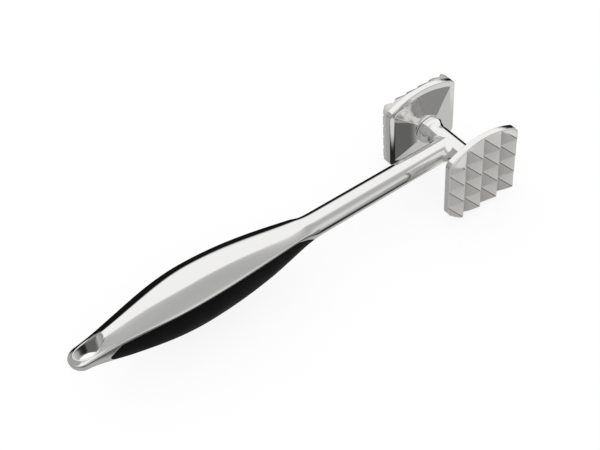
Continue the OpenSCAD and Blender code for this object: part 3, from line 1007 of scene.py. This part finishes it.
def chrome_finish(colours):
    """Polished plating over a hand-polished casting: a mirror with faint long waves."""
    material, s = finish("chrome_plating")
    waves = s.noise(70.0, 1.0)
    haze = s.noise(400.0, 3.0)
    surface(s, {
        "Base Color": (*colours.chrome, 1), "Metallic": 1.0,
        "Roughness": haze.ramp(0.3, 0.8, colours.chrome_rough * 0.8, colours.chrome_rough * 1.3),
        "Normal": s.bump(waves, 0.4 * MM, 0.12),
    })
    return material


def plate_finish(colours, plate, pitch, height, root, back_rough, back_metal, name):
    """Satin cast teeth on a polished body: the satin starts in front of the sides.

    One hip of every tooth, from its upper corner on the stem's side to its tip, carries a thin painted dark
    reflection line.
    """
    material, s = finish(name)
    x, y, z = s.axes()
    away = y.abs()
    satin = away.ramp(plate.rim_at + plate.side, plate.rim_at + plate.thick)
    grain = s.noise(1500.0, 3.0, 0.6)
    across = ((x - float(HEAD[0])) * (1 / pitch)).math("FRACT")
    beside = ((x + z - float(HEAD[0] + HEAD[2])) * (1 / pitch) + 0.5).math("FRACT") - 0.5
    on_tooth = away - across * (2 * height)
    ridge_at = plate.rim_at + plate.thick + root
    # The painted dark reflection line's edge is soft from 1.2% to 3.5% of the pitch, and the line ends at the
    # tooth's tip
    line = beside.abs().ramp(0.035, 0.012) * across.ramp(0.5, 0.48)
    line = line * on_tooth.ramp(ridge_at - 0.6 * MM, ridge_at - 0.4 * MM)
    base = s.tint((*colours.chrome, 1), (*colours.teeth, 1), satin)
    # Painted reflection: the hip line darkens the base colour towards near black
    base = s.tint(base, (0.02, 0.02, 0.02, 1), line * 0.85)
    body = away.ramp(plate.rim_at + 0.2 * MM, plate.rim_at + 0.4 * MM)
    polish = body.ramp(0, 1, back_rough, colours.chrome_rough)
    surface(s, {
        "Base Color": base, "Metallic": body.ramp(0, 1, back_metal, 1.0) - satin * 0.5,
        "Roughness": polish + satin * (colours.teeth_rough - colours.chrome_rough),
        "Normal": s.bump(grain * satin, 0.05 * MM, 0.5),
    })
    return material


def insert_finish(colours):
    """Matt black elastomer with a fine moulded grain."""
    material, s = finish("soft_black_insert")
    grain = s.noise(2600.0, 2.0)
    surface(s, {
        "Base Color": (*colours.insert, 1),
        "Roughness": s.noise(90.0).ramp(0.3, 0.7, colours.insert_rough - 0.04, colours.insert_rough + 0.05),
        "Specular IOR Level": 0.08,
        "Normal": s.bump(grain, 0.04 * MM, 0.35),
    })
    return material


def stud_finish(colours):
    """Turned steel with rings round the stud's axis."""
    material, s = finish("turned_steel")
    rings = (s.axes()[1] * 4000.0).math("SINE")
    surface(s, {
        "Base Color": (*colours.stud, 1), "Metallic": 1.0, "Roughness": 0.32,
        "Normal": s.bump(rings, 0.02 * MM, 0.4),
    })
    return material


def paint(piece, material):
    """Gives a piece one material."""
    piece.data.materials.clear()
    piece.data.materials.append(material)


def dress(piece, material, slot, *nodes):
    """Moves a new piece to the head's place, paints it, hangs it on the root body and hides the parts that it
    replaces.
    """
    piece.data.transform(Matrix.Translation(HEAD))
    paint(piece, material)
    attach(piece, "root")
    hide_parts(*nodes)


class Step:
    """What the operators share: they run their own work on the scene's settings."""

    def execute(self, context):
        self.work(context.scene)
        return {"FINISHED"}


class MakeCasting(Step, bpy.types.Operator):
    """Builds the chrome handle: head bar, stem, grip with the insert's recess, tail and hanging hole"""

    bl_idname = "tenderizer.make_casting"
    bl_label = "Make Casting"

    def work(self, scene):
        shape = CastingShape(
            scene.tenderizer_grip, scene.tenderizer_insert, scene.tenderizer_head, STUD_HOLE_R, STUD_IN_BAR)
        piece = shape.build("chrome_handle")
        dress(piece, chrome_finish(scene.tenderizer_finish), "chrome_casting", "handle")


class MakeInsert(Step, bpy.types.Operator):
    """Builds the soft insert that wraps the grip's belly"""

    bl_idname = "tenderizer.make_insert"
    bl_label = "Make Insert"

    def work(self, scene):
        piece = insert_mesh(scene.tenderizer_grip, scene.tenderizer_insert, "soft_insert")
        dress(piece, insert_finish(scene.tenderizer_finish), "soft_insert", "grip_insert")


class MakePlates(Step, bpy.types.Operator):
    """Builds the coarse plate on the near side and the fine plate on the far side"""

    bl_idname = "tenderizer.make_plates"
    bl_label = "Make Tooth Plates"

    def work(self, scene):
        plate, teeth, colours = scene.tenderizer_plate, scene.tenderizer_teeth, scene.tenderizer_finish
        for name, node, side, pattern in (
            ("coarse_tooth_plate", "coarse_plate", -1, (teeth.coarse_pitch, teeth.coarse_h, 0.0)),
            ("fine_tooth_plate", "fine_plate", 1, (teeth.fine_pitch, teeth.fine_h, teeth.fine_root)),
        ):
            slope = plate.slope[0 if side < 0 else 1]
            shape = PlateShape(plate, *pattern, slope, STUD_HOLE_R, STUD_IN_PLATE)
            piece = shape.build(name, side)
            satin = colours.back_rough, colours.back_metal
            back = satin if side < 0 else (colours.chrome_rough, 1.0)
            metal = plate_finish(colours, plate, *pattern, *back, name + "_metal")
            dress(piece, metal, "tooth_metal", node)


class FinishStuds(Step, bpy.types.Operator):
    """Gives the studs, which keep their solids, a turned steel finish"""

    bl_idname = "tenderizer.finish_studs"
    bl_label = "Finish Studs"

    def work(self, scene):
        paint(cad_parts["plate_studs"], stud_finish(scene.tenderizer_finish))


class MakeStage(Step, bpy.types.Operator):
    """Builds the floor, the room's light and the camera"""

    bl_idname = "tenderizer.make_stage"
    bl_label = "Make Stage"

    def work(self, scene):
        s = scene.tenderizer_stage
        make_floor(s.floor_size)
        make_room(scene, s.daylight)
        make_camera(scene, s)
        scene.view_settings.view_transform = "Standard"


def make_floor(size):
    """A plain white floor that shows as white and still takes the object's shadow."""
    half = size / 2
    mesh = bpy.data.meshes.new("floor")
    corners = [(-half, -half, 0), (half, -half, 0), (half, half, 0), (-half, half, 0)]
    mesh.from_pydata(corners, [], [(0, 1, 2, 3)])
    floor = bpy.data.objects.new("floor", mesh)
    bpy.context.scene.collection.objects.link(floor)
    material, s = finish("white_floor")
    ray = s.outputs(s.node("LightPath"))
    lit = s.node("BsdfDiffuse", {"Color": (0.85, 0.85, 0.85, 1)})
    shown = s.choose(lit, s.light("Emission", WHITE, 1.05), ray["Is Camera Ray"] * 0.8)
    # Reflections see the room through the floor, but for a pale card that lies under the head
    x, y, _ = s.axes()
    card = x.ramp(84 * MM, 92 * MM) * x.ramp(160 * MM, 150 * MM)
    card = card * (y + x * 0.4).ramp(17 * MM, 21 * MM) * y.ramp(24 * MM, 20 * MM)
    pale = s.light("Emission", y.ramp(-4 * MM, 6 * MM, 0.72, 0.57))
    reflected = s.choose(s.node("BsdfTransparent", {"Color": WHITE}), pale, card)
    s.node("OutputMaterial", {"Surface": s.choose(shown, reflected, ray["Is Glossy Ray"])})
    mesh.materials.append(material)


# Brightness of the room round the head's axis, by the turn from the near side (0) up over the top (90)
ROOM_BANDS = (
    (-180, 0.005), (-136, 0.01), (-126, 0.70), (-112, 0.74), (-100, 0.64), (-88, 0.52), (-76, 0.47),
    (-65, 0.40), (-60, 0.12), (-56, 0.02), (-40, 0.02), (-33, 0.18), (-26, 0.42), (-16, 0.60), (-4, 0.74),
    (8, 0.74), (20, 0.64), (32, 0.50), (44, 0.46), (56, 0.50), (65, 0.60), (74, 0.97), (82, 1.0),
    (147, 1.0), (153, 0.85), (160, 0.35), (166, 0.03), (180, 0.005),
)

# The same for rays that go back towards the handle
BACK_BANDS = (
    (-180, 0.22), (-140, 0.39), (-100, 0.39), (-72, 0.46), (-64, 0.42), (-56, 0.13), (-20, 0.13), (0, 0.30),
    (60, 0.39), (180, 0.39),
)


def make_room(scene, daylight):
    """White for the camera, bands of light and dark for reflections, and plain light for all else."""
    world = bpy.data.worlds.new("room")
    world.use_nodes = True
    scene.world = world
    s = Shader(world.node_tree)
    x, y, z = s.split(s.node("TexCoord"))
    turn = z.math("ARCTAN2", 0.0 - y)
    share = turn * (0.5 / math.pi) + 0.5

    def bands(stops):
        places = [((degrees + 180) / 360, level) for degrees, level in stops]
        return s.node("ValToRGB", {"Fac": share}, {"stops": places})

    level = s.blend(bands(BACK_BANDS), bands(ROOM_BANDS), (x + z * 0.35).ramp(-0.20, -0.08))
    # A darker patch beside the head, on the near side and low
    patch = x.ramp(0.38, 0.48) * turn.ramp(math.radians(-50), math.radians(-38))
    level = s.blend(level, 0.27, patch * turn.ramp(math.radians(0), math.radians(-10)))
    ray = s.outputs(s.node("LightPath"))
    reflected = s.choose(
        s.light("Background", WHITE, daylight), s.light("Background", level), ray["Is Glossy Ray"])
    direct = ray["Is Camera Ray"].math("MAXIMUM", ray["Is Transmission Ray"])
    s.node("OutputWorld", {"Surface": s.choose(reflected, s.light("Background", WHITE), direct)})


def make_camera(scene, s):
    """A camera that looks down by one angle, turns from +Y towards +X by another, and rolls."""
    data = bpy.data.cameras.new("camera")
    data.lens = s.lens
    data.sensor_width = 36
    camera = bpy.data.objects.new("camera", data)
    scene.collection.objects.link(camera)
    down, turn = s.camera_down, s.camera_turn
    forward = Vector((math.sin(turn) * math.cos(down), math.cos(turn) * math.cos(down), -math.sin(down)))
    level = forward.cross(Vector((0, 0, 1))).normalized()
    up = level.cross(forward)
    right = level * math.cos(s.camera_roll) - up * math.sin(s.camera_roll)
    up = right.cross(forward)
    turned = Matrix((right, up, -forward)).transposed().to_4x4()
    camera.matrix_world = Matrix.Translation(Vector(HEAD) + Vector(s.camera_at)) @ turned
    scene.camera = camera


class TenderizerPanel(bpy.types.Panel):
    """Lists the sizes, the finishes and the steps that build the tenderizer"""

    bl_idname = "VIEW3D_PT_tenderizer"
    bl_label = "Tenderizer"
    bl_space_type = "VIEW_3D"
    bl_region_type = "UI"
    bl_category = "Tenderizer"

    def draw(self, context):
        for operator in OPERATORS:
            self.layout.operator(operator.bl_idname)
        for name, group in GROUPS.items():
            box = self.layout.box()
            for value in group.__annotations__:
                box.prop(getattr(context.scene, name), value)


OPERATORS = (MakeStage, MakeCasting, MakeInsert, MakePlates, FinishStuds)
CLASSES = tuple(GROUPS.values()) + OPERATORS + (TenderizerPanel,)


def register():
    for each in CLASSES:
        bpy.utils.register_class(each)
    for name, group in GROUPS.items():
        setattr(bpy.types.Scene, name, bpy.props.PointerProperty(type=group))


def unregister():
    for name in GROUPS:
        delattr(bpy.types.Scene, name)
    for each in reversed(CLASSES):
        bpy.utils.unregister_class(each)


def main():
    register()
    bpy.ops.tenderizer.make_stage()
    bpy.ops.tenderizer.make_casting()
    bpy.ops.tenderizer.make_insert()
    bpy.ops.tenderizer.make_plates()
    bpy.ops.tenderizer.finish_studs()
    bpy.context.view_layer.update()


if __name__ == "__main__":
    main()
